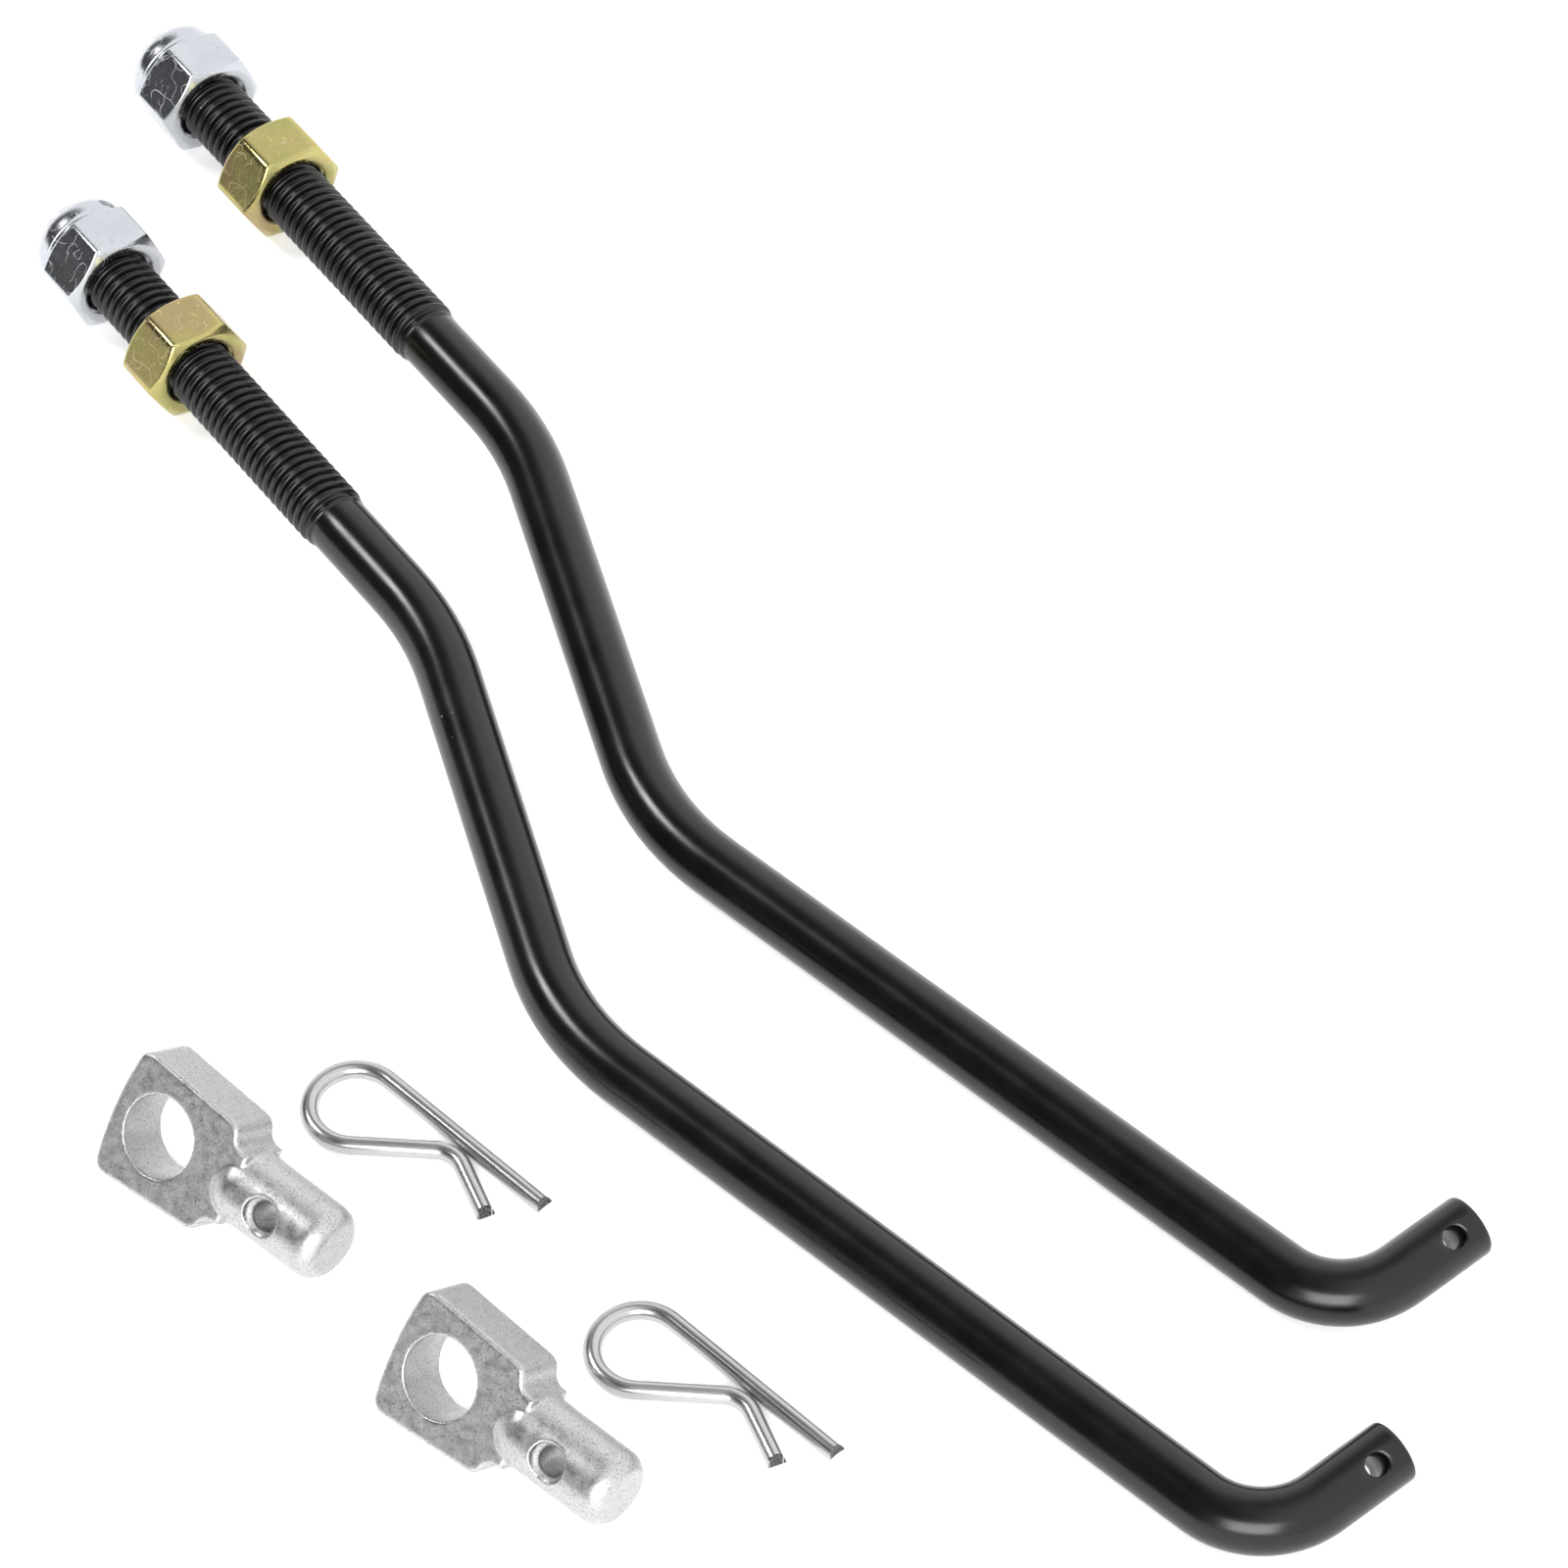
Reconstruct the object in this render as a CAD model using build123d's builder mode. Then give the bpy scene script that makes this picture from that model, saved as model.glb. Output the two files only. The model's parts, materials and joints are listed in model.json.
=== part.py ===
from build123d import *
import os
from math import asin, atan2, cos, degrees, radians, sin, sqrt, tan

# Cam-arm kit of a weight distribution hitch, millimetres, +Z up, lying on the plane Z = 0.
# Two bent and threaded cam arms, each with a hex nut and a nylon-insert lock nut,
# two swivel eyes and two hairpin clips.

# ---- cam arm: round bar, bends in one plane, thread rolled on its long end
rod_d = 11.3
thread_d = 12.7
thread_pitch = 1.954
thread_root_d = 10.6
thread_length = 87.0
thread_crest = 0.45
end_chamfer = 1.2
lead_leg = 29.0
offset_leg = 88.4
main_leg = 155.0
hook_leg = 28.2
lead_angle = 11.4
offset_angle = 32.1
hook_angle = 79.5
lead_bend_r = 60.0
offset_bend_r = 50.0
hook_bend_r = 15.5
cross_hole_d = 4.0
cross_hole_from_end = 5.8
cross_hole_turn = 25.0
edge_break = 0.5

# ---- nuts for that thread
nut_flats = 19.05
nut_height = 11.1
nut_chamfer_angle = 30.0
nut_face_d = 17.6
nut_from_thread_root = 45.1
nut_turn = -22.0
nut_clearance = 0.05
nut_mouth = 1.0
lock_height = 16.4
lock_hex_height = 10.6
lock_collar_d = 18.3
lock_dome_r = 3.6
lock_turn = -15.0
nut_gap = 16.0
thread_short_of_dome = 1.0

# ---- nylon insert held in the lock nut's dome
insert_d = 15.6
insert_height = 3.6
insert_seat = 0.02
dome_mouth_d = 13.9
dome_lip = 1.0

# ---- swivel eye: forged block with a bore, and a round pin with a cross hole
eye_length = 24.0
eye_bow = 1.2
eye_end_width = 24.2
eye_neck_width = 21.0
eye_thickness = 10.8
eye_bore_d = 14.3
eye_bore_from_shoulder = 13.6
eye_corner_r = 2.6
eye_root_r = 2.4
eye_neck_stub = 1.0
eye_edge = 0.45
pin_d = 13.7
pin_length = 22.7
pin_root_length = 3.2
pin_root_d = 14.0
pin_draft_length = 7.8
pin_parting_turn = 52.5
pin_tip_length = 3.7
pin_tip_d = 9.6
pin_tip_angle = 61.0
eye_hole_d = 5.0
eye_hole_sink_d = 6.9
eye_hole_from_shoulder = 10.8

# ---- hairpin clip: one bent wire
wire_d = 3.2
clip_loop_r = 7.9
clip_straight = 37.9
clip_hump_x = 18.8
clip_hump_gap = 0.3
clip_hump_r = 5.5
clip_hump_half_turn = 32.0
clip_tail = 14.6
clip_tail_angle = 23.5

# ---- where the pieces lie on the plane: an arm is placed by the corner of its offset bend,
# an eye by the middle of its shoulder, a clip by the middle of its loop
main_leg_heading = -42.0
arm_a_place = (-12.58, -17.03)
arm_b_place = (-27.68, -61.53)
eye_heading = -41.1
eye_roll = 52.0
eye_a_place = (-81.26, -97.24)
eye_b_place = (-32.76, -145.24)
clip_heading = -44.0
nut_seat = 0.26
eye_seat = 0.02
clip_a_place = (-62.58, -75.23)
clip_b_place = (-13.58, -124.53)

# how near a point must be to count as lying on an edge
near = 0.01

# ---- worked out from the sizes above
nut_corners = nut_flats / cos(radians(30))
rod_r = rod_d / 2
nut_near_face = lead_leg + nut_from_thread_root
lock_near_face = nut_near_face + nut_height + nut_gap
arm_end = lock_near_face + lock_height - thread_short_of_dome
thread_root = arm_end - thread_length
offset_rise = offset_leg * sin(radians(offset_angle))
nut_bore_r = thread_d / 2 + nut_clearance
insert_floor = lock_height - dome_lip - insert_height


def tilt_for(distance, turn):
    """Tilt of the arm about its main leg that puts the nut at this distance on the floor."""
    rise = offset_rise + distance * sin(radians(lead_angle))
    reach = nut_corners / 2 * cos(radians(turn)) + nut_seat
    return degrees(asin((reach - rod_r) / rise))


arm_tilt = max(tilt_for(nut_near_face, nut_turn), tilt_for(lock_near_face, lock_turn))
eye_widest = eye_end_width - eye_corner_r * (eye_end_width - eye_neck_width) / (eye_length - eye_bow)


def heading(angle):
    return Vector(cos(radians(angle)), sin(radians(angle)), 0)


def arm_frame(place):
    """Plane of the bends, with X along the main leg and its origin at the offset bend's corner."""
    along = heading(main_leg_heading)
    normal = Vector(0, 0, 1).rotate(Axis((0, 0, 0), tuple(along)), arm_tilt)
    return Plane(origin=(place[0], place[1], rod_r), x_dir=along, z_dir=normal)


def arm_points():
    """Corners of the bar's centre line, from its threaded end to its hooked end."""
    lead = Vector(cos(radians(lead_angle)), -sin(radians(lead_angle)))
    offset = Vector(cos(radians(offset_angle)), -sin(radians(offset_angle)))
    hook = Vector(cos(radians(hook_angle)), sin(radians(hook_angle)))
    corner_2 = Vector(0, 0)
    corner_1 = corner_2 - offset * offset_leg
    corner_3 = Vector(main_leg, 0)
    return corner_1 - lead * arm_end, corner_1, corner_2, corner_3, corner_3 + hook * hook_leg


def on_thread(frame, distance, turn):
    """Plane across the thread, its Z towards the free end and its X turned from straight up."""
    end, corner = arm_points()[:2]
    outward = (end - corner).normalized()
    origin = frame.from_local_coords(corner + outward * distance)
    z_dir = frame.from_local_coords(corner + outward * (distance + 1)) - origin
    x_dir = frame.z_dir.rotate(Axis((0, 0, 0), tuple(z_dir)), turn)
    return Plane(origin=origin, x_dir=x_dir, z_dir=z_dir)


def make_arm(place):
    frame = arm_frame(place)
    end, corner_1, corner_2, corner_3, tip = arm_points()
    outward = (end - corner_1).normalized()
    root = corner_1 + outward * thread_root
    thread_plane = on_thread(frame, thread_root, 0)
    tip_dir = (frame.from_local_coords(tip) - frame.from_local_coords(corner_3)).normalized()
    hole_at = frame.from_local_coords(tip) - tip_dir * cross_hole_from_end
    hole_dir = frame.z_dir.rotate(Axis((0, 0, 0), tuple(tip_dir)), cross_hole_turn)
    groove = (thread_d - thread_root_d) / 2
    turns = int((thread_length - end_chamfer) / thread_pitch)
    with BuildPart() as arm:
        with BuildLine(frame) as route:
            corners = [tuple(point) for point in (root, corner_1, corner_2, corner_3, tip)]
            FilletPolyline(*corners, radius=(lead_bend_r, offset_bend_r, hook_bend_r))
        with BuildSketch(Plane(origin=route.line @ 0, z_dir=route.line % 0)):
            Circle(rod_r)
        sweep(path=route.line)
        flats = arm.faces().filter_by(GeomType.PLANE)
        end_face = flats.sort_by_distance(frame.from_local_coords(tip))[0]
        chamfer(end_face.edges(), edge_break)
        # one ring for each turn of the thread, its root rounded off to a flank on both sides
        with BuildSketch(Plane(origin=thread_plane.origin, x_dir=thread_plane.x_dir,
                               z_dir=thread_plane.y_dir)):
            with BuildLine():
                points = [(0, 0), (rod_r, 0)]
                for turn in range(turns):
                    start = -turn * thread_pitch
                    points.append((thread_d / 2, start - (thread_pitch - thread_crest) / 2))
                    points.append((thread_d / 2, start - (thread_pitch + thread_crest) / 2))
                    points.append((thread_root_d / 2, start - thread_pitch))
                points.append((thread_d / 2 - groove / 2, -thread_length + end_chamfer))
                points.append((thread_d / 2 - end_chamfer - groove / 2, -thread_length))
                points.append((0, -thread_length))
                Polyline(*points, close=True)
            make_face()
        revolve(axis=Axis(thread_plane.origin, thread_plane.z_dir))
        with BuildSketch(Plane(origin=hole_at, z_dir=hole_dir)):
            Circle(cross_hole_d / 2)
        extrude(amount=rod_d, both=True, mode=Mode.SUBTRACT)
    return arm.part


def section_of(plane):
    """Plane through the middle of a round piece, with its Y along the piece's own axis."""
    return Plane(origin=plane.origin, x_dir=plane.x_dir, z_dir=-plane.y_dir)


def hex_blank(plane, height):
    """Solid hexagon across the thread, its corners turned down to the round face at both ends."""
    bevel = (nut_corners - nut_face_d) / 2 * tan(radians(nut_chamfer_angle))
    with BuildPart() as blank:
        with BuildSketch(plane):
            RegularPolygon(nut_corners / 2, 6)
        extrude(amount=height)
        with BuildSketch(section_of(plane)):
            with BuildLine():
                Polyline((0, 0), (nut_face_d / 2, 0), (nut_corners / 2, bevel),
                         (nut_corners / 2, height - bevel), (nut_face_d / 2, height),
                         (0, height), close=True)
            make_face()
        revolve(axis=Axis(plane.origin, plane.z_dir), mode=Mode.INTERSECT)
    return blank.part


def make_hex_nut(place):
    plane = on_thread(arm_frame(place), nut_near_face, nut_turn)
    with BuildPart() as nut:
        add(hex_blank(plane, nut_height))
        with BuildSketch(section_of(plane)):
            with BuildLine():
                Polyline((0, 0), (nut_bore_r + nut_mouth, 0), (nut_bore_r, nut_mouth),
                         (nut_bore_r, nut_height - nut_mouth), (nut_bore_r + nut_mouth, nut_height),
                         (0, nut_height), close=True)
            make_face()
        revolve(axis=Axis(plane.origin, plane.z_dir), mode=Mode.SUBTRACT)
    return nut.part


def make_lock_nut(place):
    plane = on_thread(arm_frame(place), lock_near_face, lock_turn)
    section = section_of(plane)
    collar_r = lock_collar_d / 2
    collar_start = lock_hex_height - nut_mouth
    dome_edge = 1 - 1 / sqrt(2)
    with BuildPart() as nut:
        add(hex_blank(plane, lock_hex_height))
        with BuildSketch(section):
            with BuildLine():
                Polyline((0, collar_start), (collar_r, collar_start),
                         (collar_r, lock_height - lock_dome_r))
                ThreePointArc((collar_r, lock_height - lock_dome_r),
                              (collar_r - lock_dome_r * dome_edge,
                               lock_height - lock_dome_r * dome_edge),
                              (collar_r - lock_dome_r, lock_height))
                Polyline((collar_r - lock_dome_r, lock_height), (0, lock_height),
                         (0, collar_start))
            make_face()
        revolve(axis=Axis(plane.origin, plane.z_dir))
        with BuildSketch(section):
            with BuildLine():
                Polyline((0, 0), (nut_bore_r + nut_mouth, 0), (nut_bore_r, nut_mouth),
                         (nut_bore_r, insert_floor), (insert_d / 2 + insert_seat, insert_floor),
                         (insert_d / 2 + insert_seat, lock_height - dome_lip),
                         (dome_mouth_d / 2, lock_height - dome_lip),
                         (dome_mouth_d / 2, lock_height), (0, lock_height), close=True)
            make_face()
        revolve(axis=Axis(plane.origin, plane.z_dir), mode=Mode.SUBTRACT)
    return nut.part


def make_insert(place):
    distance = lock_near_face + insert_floor + insert_seat
    plane = on_thread(arm_frame(place), distance, lock_turn)
    with BuildPart() as insert:
        with BuildSketch(plane):
            Circle(insert_d / 2)
            Circle(nut_bore_r, mode=Mode.SUBTRACT)
        extrude(amount=insert_height - 2 * insert_seat)
    return insert.part


def eye_frame(place):
    """Middle plane of the eye, with X along the level pin and its origin at the shoulder.

    The eye is rolled about its pin until the block's long lower edge meets the floor.
    """
    along = heading(eye_heading)
    normal = Vector(0, 0, 1).rotate(Axis((0, 0, 0), tuple(along)), eye_roll)
    side_reach = eye_widest / 2 * sin(radians(eye_roll))
    face_reach = (eye_thickness / 2 - eye_edge) * cos(radians(eye_roll))
    height = side_reach + face_reach + eye_seat
    return Plane(origin=(place[0], place[1], height), x_dir=along, z_dir=normal)


def make_eye(place):
    frame = eye_frame(place)
    parting_dir = (-frame.y_dir).rotate(Axis((0, 0, 0), tuple(frame.x_dir)), pin_parting_turn)
    parting = Plane(origin=frame.origin, x_dir=frame.x_dir, z_dir=parting_dir)
    end_x = eye_bow - eye_length
    end_half = eye_end_width / 2
    neck_half = eye_neck_width / 2
    pin_r = pin_d / 2
    neck_end = eye_root_r + eye_neck_stub
    with BuildPart() as eye:
        with BuildSketch(frame):
            with BuildLine():
                ThreePointArc((end_x, -end_half), (-eye_length, 0), (end_x, end_half))
                Polyline((end_x, end_half), (0, neck_half), (0, pin_r), (neck_end, pin_r),
                         (neck_end, -pin_r), (0, -pin_r), (0, -neck_half), (end_x, -end_half))
            make_face()
        extrude(amount=eye_thickness / 2, both=True)
        uprights = eye.edges().filter_by(Axis(frame.origin, frame.z_dir))
        middles = [(frame.to_local_coords(edge.center()), edge) for edge in uprights]
        roots = [edge for at, edge in middles if abs(at.X) < near and abs(at.Y) < pin_r + near]
        corners = [edge for at, edge in middles if abs(at.Y) > pin_r + near]
        fillet(roots, eye_root_r)
        fillet(corners, eye_corner_r)
        faces = eye.faces().filter_by(Axis(frame.origin, frame.z_dir))
        chamfer(faces.edges(), eye_edge)
        # the pin, its root run into the block with a little draft, its tip drawn in to a flat
        tip_lean = (cos(radians(pin_tip_angle)), -sin(radians(pin_tip_angle)))
        with BuildSketch(parting):
            with BuildLine():
                Polyline((pin_length, 0), (-pin_root_length, 0),
                         (-pin_root_length, eye_thickness / 2 - eye_edge))
                Spline((-pin_root_length, eye_thickness / 2 - eye_edge),
                       (pin_root_length, pin_root_d / 2), tangents=((1, 0), (1, 0)))
                Polyline((pin_root_length, pin_root_d / 2), (pin_draft_length, pin_r),
                         (pin_length - pin_tip_length, pin_r))
                Spline((pin_length - pin_tip_length, pin_r), (pin_length, pin_tip_d / 2),
                       tangents=((1, 0), tip_lean))
                Line((pin_length, pin_tip_d / 2), (pin_length, 0))
            make_face()
        revolve(axis=Axis(frame.origin, frame.x_dir))
        with BuildSketch(frame):
            with Locations((-eye_bore_from_shoulder, 0)):
                Circle(eye_bore_d / 2)
            with Locations((eye_hole_from_shoulder, 0)):
                Circle(eye_hole_d / 2)
        extrude(amount=pin_d, both=True, mode=Mode.SUBTRACT)
        # a countersink at each mouth of the cross hole
        hole = frame.from_local_coords(Vector(eye_hole_from_shoulder, 0, 0))
        sink = (eye_hole_sink_d - eye_hole_d) / 2
        for up in (frame.z_dir, -frame.z_dir):
            with BuildSketch(Plane(origin=hole, x_dir=frame.x_dir, z_dir=frame.x_dir.cross(up))):
                with BuildLine():
                    Polyline((0, pin_r - 2 * sink), (eye_hole_d / 2, pin_r - 2 * sink),
                             (eye_hole_sink_d / 2, pin_r - sink),
                             (eye_hole_sink_d / 2, pin_r + sink), (0, pin_r + sink), close=True)
                make_face()
            revolve(axis=Axis(hole, up), mode=Mode.SUBTRACT)
    return eye.part


def make_clip(place):
    along = heading(clip_heading)
    frame = Plane(origin=(place[0], place[1], wire_d / 2), x_dir=along, z_dir=(0, 0, 1))
    # the wavy leg leaves the loop on the tangent that meets the hump's corner
    bend_gain = clip_hump_r * (1 / cos(radians(clip_hump_half_turn)) - 1)
    hump_y = clip_loop_r - wire_d - clip_hump_gap + bend_gain
    reach = sqrt(clip_hump_x**2 + hump_y**2)
    leave = degrees(atan2(hump_y, clip_hump_x) + asin(clip_loop_r / reach))
    start = Vector(sin(radians(leave)), -cos(radians(leave))) * clip_loop_r
    hump = Vector(clip_hump_x, hump_y)
    tail = hump + Vector(cos(radians(clip_tail_angle)), -sin(radians(clip_tail_angle))) * clip_tail
    with BuildPart() as clip:
        with BuildLine(frame) as route:
            Line((clip_straight, clip_loop_r), (0, clip_loop_r))
            ThreePointArc((0, clip_loop_r), (-clip_loop_r, 0), tuple(start))
            FilletPolyline(tuple(start), tuple(hump), tuple(tail), radius=clip_hump_r)
        with BuildSketch(Plane(origin=route.line @ 0, z_dir=route.line % 0)):
            Circle(wire_d / 2)
        sweep(path=route.line)
    return clip.part


os.makedirs("parts", exist_ok=True)
for letter, arm_place, eye_place, clip_place in (
    ("a", arm_a_place, eye_a_place, clip_a_place),
    ("b", arm_b_place, eye_b_place, clip_b_place),
):
    pieces = {
        "cam_arm": make_arm(arm_place),
        "hex_nut": make_hex_nut(arm_place),
        "lock_nut": make_lock_nut(arm_place),
        "lock_insert": make_insert(arm_place),
        "swivel_eye": make_eye(eye_place),
        "hairpin_clip": make_clip(clip_place),
    }
    for name, piece in pieces.items():
        piece.label = f"{name}_{letter}"
        export_step(piece, f"parts/{name}_{letter}.step")
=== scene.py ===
import bpy, bmesh, json
from math import sin, cos, tan, pi, radians, sqrt, exp, log, atan2, asin
from mathutils import Vector, Matrix


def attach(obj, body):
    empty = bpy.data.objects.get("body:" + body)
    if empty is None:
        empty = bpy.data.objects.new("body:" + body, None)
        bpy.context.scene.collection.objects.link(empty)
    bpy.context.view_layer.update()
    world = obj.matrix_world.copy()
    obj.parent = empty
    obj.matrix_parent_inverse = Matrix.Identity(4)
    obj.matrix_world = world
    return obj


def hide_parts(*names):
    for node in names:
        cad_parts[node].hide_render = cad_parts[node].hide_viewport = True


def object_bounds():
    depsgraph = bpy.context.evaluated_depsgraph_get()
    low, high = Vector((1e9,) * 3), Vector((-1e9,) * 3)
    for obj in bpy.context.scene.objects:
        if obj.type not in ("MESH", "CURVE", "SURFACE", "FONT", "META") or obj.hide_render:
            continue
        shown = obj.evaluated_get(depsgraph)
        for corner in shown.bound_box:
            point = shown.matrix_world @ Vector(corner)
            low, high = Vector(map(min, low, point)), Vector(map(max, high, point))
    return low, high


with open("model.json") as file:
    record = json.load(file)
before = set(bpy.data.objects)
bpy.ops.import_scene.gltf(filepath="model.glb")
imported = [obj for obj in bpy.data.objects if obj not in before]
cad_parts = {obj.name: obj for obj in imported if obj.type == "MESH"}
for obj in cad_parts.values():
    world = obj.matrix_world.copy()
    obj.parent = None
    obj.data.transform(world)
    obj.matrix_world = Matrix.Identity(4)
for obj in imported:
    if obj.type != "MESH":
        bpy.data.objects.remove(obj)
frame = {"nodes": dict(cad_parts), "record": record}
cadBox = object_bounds()  # the outer box of the drawing's parts, used by keepInside
record = frame["record"]
mounts = {m["name"]: m for m in record["mounts"]}
mm = 0.001

# the arm, in millimetres, as the maker's drawing gives it
arm = dict(barR=5.65, majorR=6.35, rootR=5.28, pitch=1.954, threadLong=87.0, endR=5.1,
           leadLeg=29.0, offsetLeg=88.4, mainLeg=155.0, hookLeg=28.2,
           leadAngle=11.4, offsetAngle=32.1, hookAngle=79.5,
           bendR=(60.0, 50.0, 15.5), holeR=2.0, holeFlare=0.35, sides=72, threadSteps=12, lineStep=2.5,
           endRings=((1.6, 0.0), (1.0, 0.0), (0.42, 0.03), (0.16, 0.15), (0.03, 0.36), (0.0, 0.62)))
nut = dict(flats=19.05, high=11.1, faceR=8.8, bevelAngle=30.0, boreR=6.42, mouth=1.0,
           nearFace=74.1, gap=16.0, turn=-22.0, edge=0.38)
lock = dict(high=16.4, hexHigh=10.6, collarR=9.15, domeR=3.6, turn=-15.0, mouthR=6.95, lip=1.0,
            ringR=7.8, ringHigh=3.6, groove=0.35,
            ringBoreR=6.38, ringStepR=6.8, ringGap=0.03)


def vec(x, y=0.0, z=0.0):
    return Vector((x, y, z))


def spin(v, axis, degrees):
    return Matrix.Rotation(radians(degrees), 3, axis) @ v


# ---------- mesh helpers
def newPiece(name, verts, faces, mat, sharpAngle=40.0):
    mesh = bpy.data.meshes.new(name)
    mesh.from_pydata([tuple(v) for v in verts], [], faces)
    mesh.validate()
    bm = bmesh.new()
    bm.from_mesh(mesh)
    bmesh.ops.remove_doubles(bm, verts=bm.verts, dist=2e-6)
    bmesh.ops.dissolve_degenerate(bm, edges=bm.edges, dist=1e-6)
    bmesh.ops.recalc_face_normals(bm, faces=bm.faces)
    for f in bm.faces:
        f.smooth = True
    for e in bm.edges:
        e.smooth = len(e.link_faces) == 2 and e.calc_face_angle(0.0) < radians(sharpAngle)
    bm.to_mesh(mesh)
    bm.free()
    obj = bpy.data.objects.new(name, mesh)
    bpy.context.scene.collection.objects.link(obj)
    mesh.materials.append(mat)
    return obj


def ringFaces(rings, sides, loop=False):
    faces = []
    count = rings if loop else rings - 1
    for i in range(count):
        a, b = i * sides, ((i + 1) % rings) * sides
        for j in range(sides):
            k = (j + 1) % sides
            faces.append((a + j, a + k, b + k, b + j))
    return faces


def applyModifiers(obj):
    bpy.context.view_layer.update()
    graph = bpy.context.evaluated_depsgraph_get()
    mesh = bpy.data.meshes.new_from_object(obj.evaluated_get(graph))
    old = obj.data
    obj.modifiers.clear()
    obj.data = mesh
    bpy.data.meshes.remove(old)
    return obj


def roundEdges(obj, width, segments=3, limit=26.0):
    bevel = obj.modifiers.new("edges", "BEVEL")
    bevel.width = width
    bevel.segments = segments
    bevel.limit_method = "ANGLE"
    bevel.angle_limit = radians(limit)
    bevel.harden_normals = False
    applyModifiers(obj)
    for p in obj.data.polygons:
        p.use_smooth = True
    return obj


def keepInside(obj):
    # trim what stands proud of the drawing's outer box, a tenth of a millimetre or so
    low, high = cadBox
    for v in obj.data.vertices:
        v.co = [min(max(c, a), b) for c, a, b in zip(v.co, low, high)]
    obj.data.update()


# ---------- node helpers for the finishes
class Finish:
    def __init__(self, name):
        self.mat = bpy.data.materials.new(name)
        self.mat.use_nodes = True
        self.tree = self.mat.node_tree
        self.shader = self.tree.nodes["Principled BSDF"]
        self.coords = self.tree.nodes.new("ShaderNodeTexCoord").outputs["Object"]

    def node(self, kind, **inputs):
        n = self.tree.nodes.new(kind)
        for key, value in inputs.items():
            n.inputs[key.replace("_", " ")].default_value = value
        return n

    def link(self, a, b):
        self.tree.links.new(a, b)

    def noise(self, scale, detail=3.0, rough=0.5, distortion=0.0, stretch=None, source=None):
        n = self.node("ShaderNodeTexNoise", Scale=scale, Detail=detail, Roughness=rough,
                      Distortion=distortion)
        src = source or self.coords
        if stretch:
            m = self.node("ShaderNodeMapping")
            m.inputs["Scale"].default_value = stretch
            self.link(src, m.inputs["Vector"])
            src = m.outputs["Vector"]
        self.link(src, n.inputs["Vector"])
        return n.outputs["Fac"]

    def ramp(self, fac, stops):
        r = self.tree.nodes.new("ShaderNodeValToRGB")
        while len(r.color_ramp.elements) < len(stops):
            r.color_ramp.elements.new(0.5)
        for el, (pos, col) in zip(r.color_ramp.elements, stops):
            el.position = pos
            el.color = (*col, 1.0)
        self.link(fac, r.inputs["Fac"])
        return r.outputs["Color"]

    def remap(self, fac, lo, hi, outLo, outHi):
        r = self.node("ShaderNodeMapRange", From_Min=lo, From_Max=hi, To_Min=outLo, To_Max=outHi)
        self.link(fac, r.inputs["Value"])
        return r.outputs["Result"]

    def math(self, op, a, b):
        m = self.tree.nodes.new("ShaderNodeMath")
        m.operation = op
        for slot, v in enumerate((a, b)):
            if isinstance(v, (int, float)):
                m.inputs[slot].default_value = v
            else:
                self.link(v, m.inputs[slot])
        return m.outputs["Value"]

    def mix(self, fac, a, b):
        m = self.tree.nodes.new("ShaderNodeMix")
        m.data_type = "RGBA"
        self.link(fac, m.inputs["Factor"])
        for slot, v in ((6, a), (7, b)):
            if isinstance(v, tuple):
                m.inputs[slot].default_value = (*v, 1.0)
            else:
                self.link(v, m.inputs[slot])
        return m.outputs[2]

    def bump(self, height, strength, distance, below=None):
        b = self.node("ShaderNodeBump", Strength=strength, Distance=distance)
        self.link(height, b.inputs["Height"])
        if below is not None:
            self.link(below, b.inputs["Normal"])
        return b.outputs["Normal"]

    def wire(self, color=None, rough=None, normal=None):
        if color is not None:
            self.link(color, self.shader.inputs["Base Color"])
        if rough is not None:
            self.link(rough, self.shader.inputs["Roughness"])
        if normal is not None:
            self.link(normal, self.shader.inputs["Normal"])
        return self.mat


def blackPaint():
    look = dict(base=(0.0022, 0.0022, 0.0026), worn=(0.0042, 0.0042, 0.0048), dust=(0.30, 0.30, 0.32),
                roughLow=0.20, roughHigh=0.27, peel=0.10)
    f = Finish("semiGlossBlackPaint")
    f.shader.inputs["IOR"].default_value = 1.45
    cloud = f.noise(90.0, 4.0)
    color = f.mix(f.remap(cloud, 0.4, 0.7, 0.0, 1.0), look["base"], look["worn"])
    # a few specks of dust caught in the paint
    cells = f.node("ShaderNodeTexVoronoi", Scale=330.0)
    f.link(f.coords, cells.inputs["Vector"])
    speck = f.remap(cells.outputs["Distance"], 0.05, 0.085, 1.0, 0.0)
    rare = f.remap(f.noise(55.0, 2.0), 0.66, 0.68, 0.0, 1.0)
    speck = f.math("MULTIPLY", speck, rare)
    color = f.mix(f.math("MULTIPLY", speck, 0.6), color, look["dust"])
    rough = f.remap(f.noise(160.0, 5.0), 0.3, 0.7, look["roughLow"], look["roughHigh"])
    peel = f.bump(f.noise(620.0, 2.0), look["peel"], 0.00006)
    normal = f.bump(speck, 0.5, 0.00008, peel)
    return f.wire(color, rough, normal)


def scratches(f, scale, width, seed):
    # hair-thin curved lines, left where smooth noise crosses its middle
    shift = f.node("ShaderNodeMapping")
    shift.inputs["Location"].default_value = (seed, -seed, seed * 2)
    f.link(f.coords, shift.inputs["Vector"])
    wave = f.noise(scale, 0.0, 0.0, 0.3, source=shift.outputs["Vector"])
    near = f.math("ABSOLUTE", f.math("SUBTRACT", wave, 0.5), 0.0)
    line = f.remap(near, 0.0, width, 1.0, 0.0)
    breaks = f.noise(scale * 1.7, 1.0, 0.5, source=shift.outputs["Vector"])
    return f.math("MULTIPLY", line, f.remap(breaks, 0.46, 0.56, 0.0, 1.0))


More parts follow.
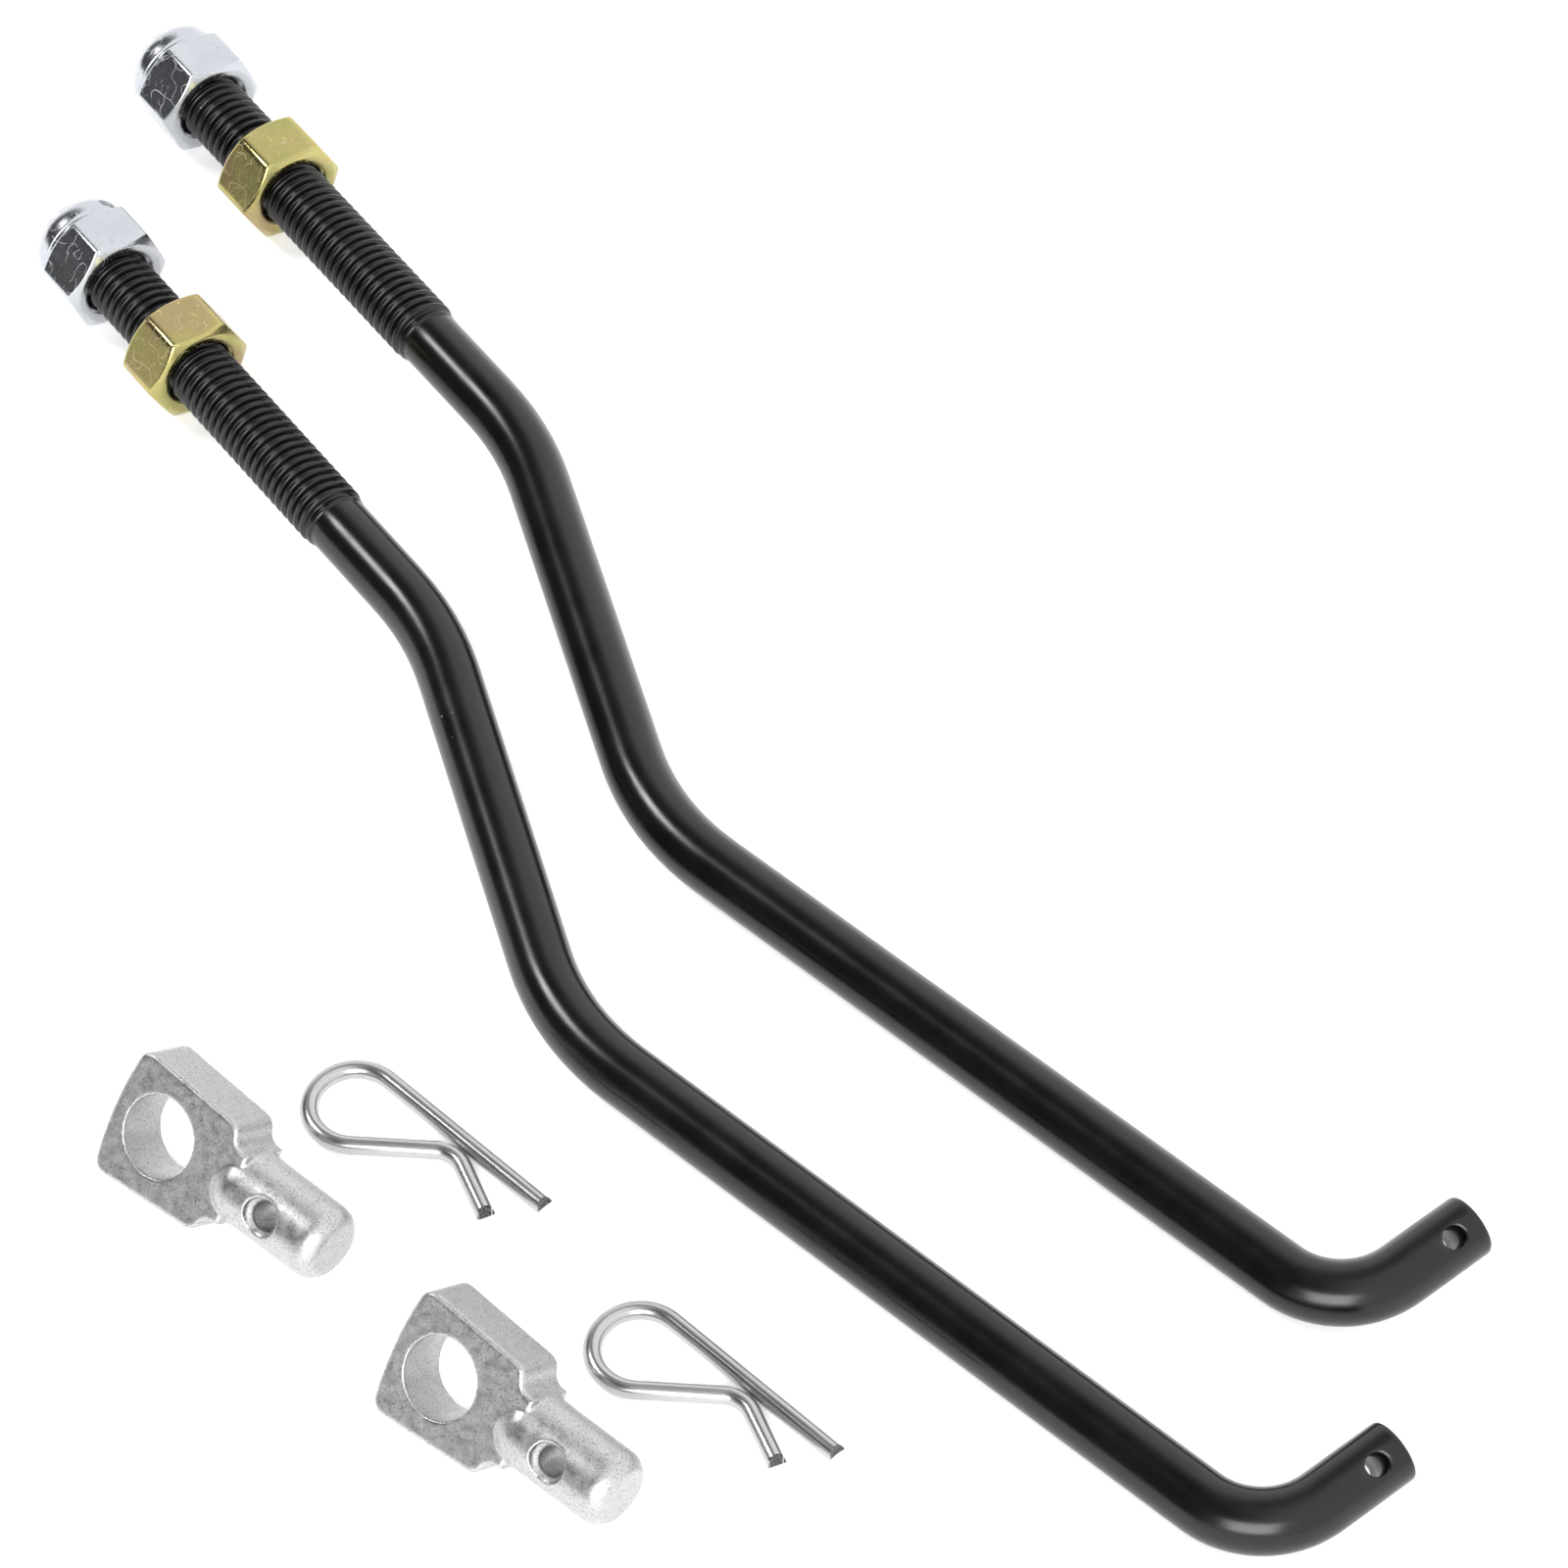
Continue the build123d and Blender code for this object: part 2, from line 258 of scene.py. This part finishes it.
def platedNut(name, look):
    f = Finish(name)
    f.shader.inputs["Metallic"].default_value = 1.0
    blotch = f.noise(120.0, 2.0, 0.5, 0.4)
    color = f.ramp(blotch, tuple(zip((0.34, 0.46, 0.56, 0.68), look["tones"])))
    marks = None
    for scale, width, seed in ((150.0, 0.0045, 0.1), (230.0, 0.0050, 0.37), (340.0, 0.0055, 0.71)):
        line = scratches(f, scale, width, seed)
        marks = line if marks is None else f.math("MAXIMUM", marks, line)
    color = f.mix(f.math("MULTIPLY", marks, look["markShare"]), color, look["mark"])
    grain = f.noise(2600.0, 3.0)
    roughness = f.math("ADD", f.remap(grain, 0.3, 0.7, look["rough"] - 0.04, look["rough"] + 0.05),
                       f.math("MULTIPLY", marks, 0.35))
    skin = f.bump(f.noise(900.0, 3.0), look["skin"], 0.00005)
    normal = f.bump(marks, 0.6, 0.00004, skin)
    return f.wire(color, roughness, normal)


def forgedZinc():
    look = dict(dark=(0.25, 0.25, 0.25), plain=(0.47, 0.47, 0.47), bright=(0.56, 0.56, 0.565),
                roughLow=0.34, roughHigh=0.50, grit=0.35, coarse=0.20)
    f = Finish("zincOverForging")
    f.shader.inputs["Metallic"].default_value = 1.0
    grit = f.noise(3000.0, 3.0, 0.6)
    color = f.ramp(grit, ((0.34, look["dark"]), (0.44, look["plain"]), (0.66, look["bright"])))
    rough = f.remap(f.noise(600.0, 4.0), 0.3, 0.7, look["roughLow"], look["roughHigh"])
    coarse = f.bump(f.noise(700.0, 4.0, 0.6), look["coarse"], 0.00012)
    normal = f.bump(grit, look["grit"], 0.00007, coarse)
    return f.wire(color, rough, normal)


def drawnWire():
    f = Finish("brightDrawnWire")
    f.shader.inputs["Metallic"].default_value = 1.0
    uv = f.tree.nodes.new("ShaderNodeUVMap")
    uv.uv_map = "along"
    lines = f.noise(1.0, 4.0, 0.6, 0.0, stretch=(3.0, 46.0, 1.0), source=uv.outputs["UV"])
    color = f.ramp(lines, ((0.30, (0.36, 0.36, 0.355)), (0.5, (0.47, 0.47, 0.465)),
                           (0.7, (0.55, 0.55, 0.545))))
    pits = f.remap(f.noise(1500.0, 3.0), 0.66, 0.74, 0.0, 1.0)
    color = f.mix(f.math("MULTIPLY", pits, 0.4), color, (0.2, 0.2, 0.2))
    # the nipped ends are dull, with coarse grain, and their colour is painted dark as shade
    split = f.node("ShaderNodeSeparateXYZ")
    f.link(uv.outputs["UV"], split.inputs["Vector"])
    cut = f.math("LESS_THAN", split.outputs["X"], -0.5)
    grain = f.remap(f.noise(2600.0, 3.0), 0.4, 0.62, 0.0, 1.0)
    # painted shade: the cut end facets get a near-black grained colour
    color = f.mix(cut, color, f.mix(grain, (0.03, 0.03, 0.03), (0.16, 0.16, 0.16)))
    rough = f.math("ADD", f.remap(lines, 0.3, 0.7, 0.20, 0.30), f.math("MULTIPLY", cut, 0.2))
    normal = f.bump(lines, 0.18, 0.00005)
    return f.wire(color, rough, normal)


def nylon():
    f = Finish("naturalNylon")
    color = f.mix(f.remap(f.noise(300.0, 3.0), 0.3, 0.7, 0.0, 1.0), (0.74, 0.72, 0.64),
                  (0.84, 0.83, 0.77))
    f.shader.inputs["Subsurface Weight"].default_value = 0.15
    f.shader.inputs["Subsurface Radius"].default_value = (0.001, 0.0009, 0.0008)
    rough = f.remap(f.noise(900.0, 3.0), 0.3, 0.7, 0.42, 0.58)
    return f.wire(color, rough, f.bump(f.noise(700.0, 2.0), 0.15, 0.00005))


paintBlack = blackPaint()
zincYellow = platedNut("yellowZinc", dict(
    tones=((0.37, 0.35, 0.13), (0.42, 0.38, 0.15), (0.43, 0.37, 0.15), (0.42, 0.33, 0.17)),
    mark=(0.78, 0.72, 0.48), markShare=0.5, rough=0.20, skin=0.08))
zincBright = platedNut("brightZinc", dict(
    tones=((0.46, 0.475, 0.51), (0.485, 0.50, 0.535), (0.50, 0.515, 0.545), (0.515, 0.53, 0.555)),
    mark=(0.80, 0.80, 0.82), markShare=0.55, rough=0.21, skin=0.10))
zincForged = forgedZinc()
wireBright = drawnWire()
nylonPale = nylon()
print("finishes mixed")


# ---------- where things are, read from the frame
def armAxes(letter):
    grip = Vector(mounts["bracket_grip_" + letter]["pos_m"])
    outward = Vector(mounts["bracket_grip_" + letter]["axis"]).normalized()
    hookDir = Vector(mounts["hook_pin_" + letter]["axis"]).normalized()
    up = hookDir.cross(outward).normalized()  # across the plane of the bends
    along = spin(outward, up, arm["leadAngle"] - 180.0)
    side = up.cross(along)
    gripOut = nut["nearFace"] + nut["high"] + nut["gap"] / 2
    cornerOne = grip - outward * gripOut * mm
    off = radians(arm["offsetAngle"])
    origin = cornerOne + (along * cos(off) - side * sin(off)) * arm["offsetLeg"] * mm
    return origin, along, side, up, outward, hookDir, cornerOne


def bentLine(points, radii, step):
    # straight runs joined by arcs: returns (place, direction) about every step
    out = []
    last = points[0]
    for i in range(1, len(points)):
        p = points[i]
        inDir = (p - points[i - 1]).normalized()
        if i < len(points) - 1:
            outDir = (points[i + 1] - p).normalized()
            turn = inDir.angle(outDir)
            cut = radii[i - 1] * tan(turn / 2)
            stop = p - inDir * cut
        else:
            stop = p
        run = (stop - last).length
        n = max(1, int(round(run / step)))
        for k in range(n):
            out.append((last + inDir * run * k / n, inDir.copy()))
        if i < len(points) - 1:
            axis = inDir.cross(outDir).normalized()
            centre = stop + axis.cross(inDir).normalized() * radii[i - 1]
            steps = max(4, int(turn / radians(3.0)))
            for k in range(steps):
                angle = turn * k / steps
                rot = Matrix.Rotation(angle, 3, axis)
                out.append((centre + rot @ (stop - centre), rot @ inDir))
            last = p + outDir * cut
        else:
            out.append((stop, inDir.copy()))
    return out


def threadRadius(share):
    # one turn of the thread, softened by the paint that fills its root
    ridge = abs(2.0 * (share % 1.0) - 1.0)
    shape = min(1.0, max(0.0, (ridge - 0.16) / 0.72))
    shape = shape * shape * (3 - 2 * shape)
    return arm["rootR"] + (arm["majorR"] - arm["rootR"]) * shape


def makeArm(letter):
    origin, along, side, up, outward, hookDir, cornerOne = armAxes(letter)
    n, steps = arm["sides"], arm["threadSteps"]
    freeEnd = cornerOne + outward * (nut["nearFace"] + nut["high"] + nut["gap"] + lock["high"] - 1.0) * mm
    rootAt = freeEnd - outward * arm["threadLong"] * mm
    inward = -outward
    across = up.cross(inward)
    turns = int(arm["threadLong"] / arm["pitch"]) + 2
    verts, faces = [], []

    def threadPoint(k, j):
        t = (k / steps + j / n) * arm["pitch"]
        s = min(max(t, 0.0), arm["threadLong"])
        r = threadRadius(k / steps)
        r = min(r, arm["endR"] + s * 0.9)  # the chamfer at the free end
        fade = min(1.0, max(0.0, (arm["threadLong"] - s) / (1.4 * arm["pitch"])))
        r = arm["barR"] + (r - arm["barR"]) * fade
        a = 2 * pi * j / n
        # the ridge climbs as a right-handed thread does
        return freeEnd + inward * s * mm + (up * cos(a) + across * sin(a)) * r * mm

    first, last = -steps, turns * steps
    rows = last - first + 1
    for k in range(first, last + 1):
        for j in range(n):
            verts.append(threadPoint(k, j))
    for i in range(rows - 1):
        for j in range(n - 1):
            a = i * n + j
            faces.append((a, a + 1, a + n + 1, a + n))
        if i + 1 + steps < rows:
            a, b = i * n + n - 1, (i + steps) * n
            faces.append((a, b, b + n, a + n))
    cap = len(verts)
    verts.append(freeEnd)
    rim = []
    for j in range(n):
        a = 2 * pi * j / n
        verts.append(freeEnd + (up * cos(a) + across * sin(a)) * arm["endR"] * mm)
        rim.append(cap + 1 + j)
    for j in range(n):
        faces.append((cap, rim[(j + 1) % n], rim[j]))

    # the plain bar, from the thread's root to the hooked end
    corner3 = origin + along * arm["mainLeg"] * mm
    tip = corner3 + hookDir * arm["hookLeg"] * mm
    route = bentLine([rootAt, cornerOne, origin, corner3, tip],
                     [r * mm for r in arm["bendR"]], arm["lineStep"] * mm)
    base = len(verts)
    ringTotal = 0
    for place, heading in route[:-1]:
        out = up
        sideways = out.cross(heading).normalized()
        for j in range(n):
            a = 2 * pi * j / n
            verts.append(place + (out * cos(a) + sideways * sin(a)) * arm["barR"] * mm)
        ringTotal += 1
    sideways = up.cross(hookDir).normalized()
    for back, inset in arm["endRings"]:
        for j in range(n):
            a = 2 * pi * j / n
            verts.append(tip - hookDir * back * mm
                         + (up * cos(a) + sideways * sin(a)) * (arm["barR"] - inset) * mm)
        ringTotal += 1
    for f in ringFaces(ringTotal, n):
        faces.append(tuple(base + q for q in f))
    end = len(verts)
    verts.append(tip)
    lastRing = base + (ringTotal - 1) * n
    for j in range(n):
        faces.append((end, lastRing + j, lastRing + (j + 1) % n))
    piece = newPiece("camArm_" + letter, verts, faces, paintBlack, sharpAngle=50.0)

    # the drilled hole for the clip, its mouths eased by the paint
    hole = mounts["hook_clip_hole_" + letter]
    centre, drill = Vector(hole["pos_m"]), Vector(hole["axis"]).normalized()
    sideA = drill.orthogonal().normalized()
    sideB = drill.cross(sideA)
    cutVerts = []
    flare = arm["holeFlare"]
    levels = ((-7.0, 1.6), (-5.7, flare), (-5.1, 0.0), (5.1, 0.0), (5.7, flare), (7.0, 1.6))
    m = 40
    for level, extra in levels:
        for j in range(m):
            a = 2 * pi * j / m
            cutVerts.append(centre + drill * level * mm
                            + (sideA * cos(a) + sideB * sin(a)) * (arm["holeR"] + extra) * mm)
    cutFaces = ringFaces(len(levels), m)
    cutFaces += [tuple(range(m))[::-1], tuple((len(levels) - 1) * m + j for j in range(m))]
    cutter = newPiece("drill", cutVerts, cutFaces, paintBlack)
    bore = piece.modifiers.new("bore", "BOOLEAN")
    bore.operation = "DIFFERENCE"
    bore.solver = "EXACT"
    bore.object = cutter
    applyModifiers(piece)
    bpy.data.objects.remove(cutter)
    keepInside(piece)
    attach(piece, "arm_" + letter)
    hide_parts("cam_arm_" + letter)
    return piece


def hexRadius(angle, sharp=70.0):
    # distance to the side of a hexagon whose corners are a little rounded
    total = sum(exp(sharp * (cos(angle - radians(30 + 60 * i)) - 1.0)) for i in range(6))
    return nut["flats"] / 2 / (1.0 + log(total) / sharp)


def nutRings(profile, sides=144):
    verts = []
    for ring in profile:
        for j in range(sides):
            a = 2 * pi * j / sides
            r, z = ring(a)
            verts.append((a, r, z))
    return verts, ringFaces(len(profile), sides, loop=True)


def bevelDrop(angle):
    return max(0.0, (hexRadius(angle) - nut["faceR"]) * tan(radians(nut["bevelAngle"])))


def standNut(name, profile, letter, outAlong, turn, mat, edge):
    origin, along, side, up, outward, hookDir, cornerOne = armAxes(letter)
    base = cornerOne + outward * outAlong * mm
    xDir = spin(up, outward, turn)
    yDir = outward.cross(xDir)
    polar, faces = nutRings(profile)
    verts = [base + (xDir * cos(a) + yDir * sin(a)) * r * mm + outward * z * mm
             for a, r, z in polar]
    piece = newPiece(name, verts, faces, mat)
    return roundEdges(piece, edge * mm, 3, 27.0)


def makeHexNut(letter):
    high, bore, mouth, faceR = nut["high"], nut["boreR"], nut["mouth"], nut["faceR"]
    profile = [
        lambda a: (bore, mouth),
        lambda a: (bore + mouth, 0.0),
        lambda a: (faceR, 0.0),
        lambda a: (hexRadius(a), bevelDrop(a)),
        lambda a: (hexRadius(a), high - bevelDrop(a)),
        lambda a: (faceR, high),
        lambda a: (bore + mouth, high),
        lambda a: (bore, high - mouth),
    ]
    piece = standNut("hexNut_" + letter, profile, letter, nut["nearFace"], nut["turn"], zincYellow,
                     nut["edge"])
    keepInside(piece)
    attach(piece, "hex_nut_" + letter)
    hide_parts("hex_nut_" + letter)
    return piece


def makeLockNut(letter):
    bore, mouth, faceR, collar = nut["boreR"], nut["mouth"], nut["faceR"], lock["collarR"]
    hexHigh, high, dome = lock["hexHigh"], lock["high"], lock["domeR"]
    floorZ = high - lock["lip"] - lock["ringHigh"]
    profile = [
        lambda a: (bore, mouth),
        lambda a: (bore + mouth, 0.0),
        lambda a: (faceR, 0.0),
        lambda a: (hexRadius(a), bevelDrop(a)),
        lambda a: (hexRadius(a), hexHigh - bevelDrop(a)),
        lambda a: (min(hexRadius(a), collar + 0.1), hexHigh),
        lambda a: (collar - lock["groove"], hexHigh + 0.1),
        lambda a: (collar - lock["groove"], hexHigh + 0.6),
        lambda a: (collar, hexHigh + 1.0),
    ]
    arcSteps = 9
    for k in range(arcSteps + 1):
        t = pi / 2 * k / arcSteps
        profile.append(lambda a, t=t: (collar - dome * (1 - cos(t)), high - dome * (1 - sin(t))))
    profile += [
        lambda a: (lock["mouthR"] + 0.15, high),
        lambda a: (lock["mouthR"], high - 0.3),
        lambda a: (lock["mouthR"], high - lock["lip"]),
        lambda a: (lock["ringR"], high - lock["lip"]),
        lambda a: (lock["ringR"], floorZ),
        lambda a: (bore, floorZ),
    ]
    outAlong = nut["nearFace"] + nut["high"] + nut["gap"]
    piece = standNut("lockNut_" + letter, profile, letter, outAlong, lock["turn"], zincBright, 0.22)
    keepInside(piece)
    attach(piece, "lock_nut_" + letter)
    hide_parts("lock_nut_" + letter)
    ring = [
        lambda a: (lock["ringBoreR"], floorZ + 0.4),
        lambda a: (lock["ringStepR"], floorZ + lock["ringGap"]),
        lambda a: (lock["ringR"] - lock["ringGap"], floorZ + lock["ringGap"]),
        lambda a: (lock["ringR"] - lock["ringGap"], high - lock["lip"] - lock["ringGap"]),
        lambda a: (lock["ringStepR"], high - lock["lip"] - lock["ringGap"]),
        lambda a: (lock["ringBoreR"], high - lock["lip"] - 0.35),
    ]
    insert = standNut("nylonRing_" + letter, ring, letter, outAlong, lock["turn"], nylonPale, 0.12)
    keepInside(insert)
    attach(insert, "lock_nut_" + letter)
    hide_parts("lock_insert_" + letter)
    return piece


def makeEye(letter):
    look = dict(voxel=0.26, soften=5, skin=0.05)
    source = frame["nodes"]["swivel_eye_" + letter]
    mesh = source.data.copy()
    mesh.transform(source.matrix_world)
    mesh.materials.clear()
    mesh.materials.append(zincForged)
    piece = bpy.data.objects.new("swivelEye_" + letter, mesh)
    bpy.context.scene.collection.objects.link(piece)
    remesh = piece.modifiers.new("skin", "REMESH")
    remesh.mode = "VOXEL"
    remesh.voxel_size = look["voxel"] * mm
    soft = piece.modifiers.new("forged", "SMOOTH")
    soft.factor = 0.5
    soft.iterations = look["soften"]
    grain = bpy.data.textures.new("forgedSkin_" + letter, "CLOUDS")
    grain.noise_scale = 0.0022
    rough = piece.modifiers.new("grain", "DISPLACE")
    rough.texture = grain
    rough.texture_coords = "LOCAL"
    rough.strength = look["skin"] * mm
    rough.mid_level = 0.75
    applyModifiers(piece)
    for p in piece.data.polygons:
        p.use_smooth = True
    keepInside(piece)
    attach(piece, "swivel_eye_" + letter)
    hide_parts("swivel_eye_" + letter)
    return piece


clip = dict(wireR=1.6, loopR=7.9, straight=37.9, humpX=18.8, humpGap=0.3, humpR=5.5,
            humpHalfTurn=32.0, tail=14.6, tailAngle=23.5, heading=-44.0, shear=32.0, sides=36)


def clipRoute():
    gain = clip["humpR"] * (1 / cos(radians(clip["humpHalfTurn"])) - 1)
    humpY = clip["loopR"] - 2 * clip["wireR"] - clip["humpGap"] + gain
    reach = sqrt(clip["humpX"] ** 2 + humpY ** 2)
    leave = atan2(humpY, clip["humpX"]) + asin(clip["loopR"] / reach)
    start = vec(sin(leave), -cos(leave)) * clip["loopR"]
    hump = vec(clip["humpX"], humpY)
    tailDir = vec(cos(radians(clip["tailAngle"])), -sin(radians(clip["tailAngle"])))
    route = []
    n = 16
    for k in range(n):
        route.append((vec(clip["straight"] * (1 - k / n), clip["loopR"]), vec(-1.0)))
    first, last = pi / 2, leave - pi / 2 + 2 * pi  # round the far side to where the leg leaves
    n = 60
    for k in range(n):
        a = first + (last - first) * k / n
        route.append((vec(cos(a), sin(a)) * clip["loopR"], vec(-sin(a), cos(a))))
    route += bentLine([start, hump, hump + tailDir * clip["tail"]], [clip["humpR"]], 1.2)
    return route


def makeClip(letter):
    route = clipRoute()
    yaw = Matrix.Rotation(radians(clip["heading"]), 3, "Z")
    # the loop's centre, found from the opening that the record gives for it
    spot = [o for o in record["physics"]["openings"] if o["name"] == "clip_loop_" + letter][0]["box_m"]
    centre = vec((spot[0][0] + spot[1][0]) / 2, (spot[0][1] + spot[1][1]) / 2, clip["wireR"] * mm)
    n, r = clip["sides"], clip["wireR"]
    verts, lengths = [], []
    gone, before = 0.0, None
    total = len(route)
    for i, (p, d) in enumerate(route):
        gone += (p - before).length if before is not None else 0.0
        before = p
        side = vec(0, 0, 1).cross(d)
        for j in range(n):
            a = 2 * pi * (j + 0.5) / n
            x, z = r * cos(a), r * sin(a)
            slip = 0.0
            if i in (0, total - 1):  # ends nipped to a wedge by the cutter
                slip = -abs(z) * tan(radians(clip["shear"])) * (-1 if i == 0 else 1)
            verts.append(centre + yaw @ ((p + side * x + d * slip + vec(0, 0, z)) * mm))
        lengths.append(gone)
    faces = ringFaces(total, n)
    half = n // 2
    for base, flip in ((0, True), ((total - 1) * n, False)):
        # strips across the end, each level with the wedge's ridge
        for j in range(half - 1):
            quad = (base + j, base + j + 1, base + (n - 2 - j), base + (n - 1 - j))
            faces.append(quad[::-1] if flip else quad)
    piece = newPiece("hairpinClip_" + letter, verts, faces, wireBright, sharpAngle=28.0)
    uv = piece.data.uv_layers.new(name="along")
    inverse = yaw.inverted()
    places = [centre + yaw @ (p * mm) for p, d in route]
    nearest = {}
    for v in piece.data.vertices:
        nearest[v.index] = min(range(total), key=lambda q: (places[q] - v.co).length_squared)
    for poly in piece.data.polygons:
        ids = [nearest[v] for v in poly.vertices]
        angles = []
        for v in poly.vertices:
            i = nearest[v]
            off = inverse @ (piece.data.vertices[v].co - places[i])
            side = vec(0, 0, 1).cross(route[i][1])
            angles.append(atan2(off.z, off.dot(side)) / (2 * pi))
        if max(angles) - min(angles) > 0.5:
            angles = [a + 1 if a < 0 else a for a in angles]
        nipped = len(set(ids)) == 1  # a facet of the cut ends, marked for the finish, which dulls it and paints it in dark shade
        for loop, i, a in zip(poly.loop_indices, ids, angles):
            uv.data[loop].uv = (-1.0 if nipped else lengths[i] * 0.02, a)
    keepInside(piece)
    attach(piece, "hairpin_clip_" + letter)
    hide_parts("hairpin_clip_" + letter)
    return piece


for letter in "ab":
    makeArm(letter)
    print("arm", letter, "bent, threaded and drilled")
    makeHexNut(letter)
    makeLockNut(letter)
    print("nuts", letter, "on the thread")
    makeEye(letter)
    makeClip(letter)
    print("eye and clip", letter, "laid out")


# ---------- floor, light and camera
studio = dict(floorTone=0.95, floorGlow=0.32, skyPower=1.45,
              lamps=(("leftKey", (-0.96, 0.27, 1.12), 0.34, 8.0),
                     ("frontFill", (-0.15, -1.30, 0.72), 0.80, 15.0)),
              flags=(((-0.80, -0.05, 0.60), 62.0, 34.0, 0.05), ((-0.35, 0.40, 0.85), 34.0, 12.0, 0.30)))


def makeFloor():
    size = 6.0
    mesh = bpy.data.meshes.new("studioFloor")
    corners = [(-size, -size, 0), (size, -size, 0), (size, size, 0), (-size, size, 0)]
    mesh.from_pydata(corners, [], [(0, 1, 2, 3)])
    obj = bpy.data.objects.new("studioFloor", mesh)
    bpy.context.scene.collection.objects.link(obj)
    f = Finish("palePaper")
    tone = studio["floorTone"]
    color = f.mix(f.noise(4.0, 3.0), (tone, tone, tone), (tone + 0.01, tone + 0.01, tone + 0.01))
    f.shader.inputs["Specular IOR Level"].default_value = 0.0
    f.shader.inputs["Emission Color"].default_value = (1.0, 1.0, 1.0, 1.0)
    f.shader.inputs["Emission Strength"].default_value = studio["floorGlow"]
    f.wire(color, f.remap(f.noise(30.0, 3.0), 0.3, 0.7, 0.85, 0.95))
    mesh.materials.append(f.mat)


def makeWorld():
    world = bpy.data.worlds.new("studio")
    bpy.context.scene.world = world
    world.use_nodes = True
    tree = world.node_tree
    back = tree.nodes["Background"]
    coords = tree.nodes.new("ShaderNodeTexCoord").outputs["Generated"]
    level = None
    # white all round, with a black flag over the left side and a little less light overhead
    for aim, start, full, tone in studio["flags"]:
        dot = tree.nodes.new("ShaderNodeVectorMath")
        dot.operation = "DOT_PRODUCT"
        tree.links.new(coords, dot.inputs[0])
        dot.inputs[1].default_value = Vector(aim).normalized()
        fade = tree.nodes.new("ShaderNodeMapRange")
        fade.interpolation_type = "SMOOTHSTEP"
        fade.inputs["From Min"].default_value = cos(radians(start))
        fade.inputs["From Max"].default_value = cos(radians(full))
        fade.inputs["To Min"].default_value = 1.0
        fade.inputs["To Max"].default_value = tone
        tree.links.new(dot.outputs["Value"], fade.inputs["Value"])
        shade = fade.outputs["Result"]
        if level is not None:
            both = tree.nodes.new("ShaderNodeMath")
            both.operation = "MULTIPLY"
            tree.links.new(level, both.inputs[0])
            tree.links.new(shade, both.inputs[1])
            shade = both.outputs["Value"]
        level = shade
    tree.links.new(level, back.inputs["Color"])
    back.inputs["Strength"].default_value = studio["skyPower"]


def areaLight(name, place, size, power):
    data = bpy.data.lights.new(name, "AREA")
    data.energy = power
    data.shape = "SQUARE"
    data.size = size
    obj = bpy.data.objects.new(name, data)
    obj.location = place
    obj.rotation_euler = (-Vector(place)).to_track_quat("-Z", "Y").to_euler()
    bpy.context.scene.collection.objects.link(obj)


makeFloor()
makeWorld()
for lamp in studio["lamps"]:
    areaLight(*lamp)

camera = dict(place=(0.01028, -0.76719, 0.9765), elevation=52.0, lens=161.2)
cam = bpy.data.cameras.new("studioCamera")
cam.lens = camera["lens"]
cam.sensor_width = 36.0
cam.clip_start = 0.05
camObj = bpy.data.objects.new("studioCamera", cam)
camObj.location = camera["place"]
camObj.rotation_euler = (radians(90.0 - camera["elevation"]), 0.0, 0.0)
bpy.context.scene.collection.objects.link(camObj)
bpy.context.scene.camera = camObj
bpy.context.scene.view_settings.view_transform = "Standard"
bpy.context.scene.view_settings.look = "None"
print("studio set")
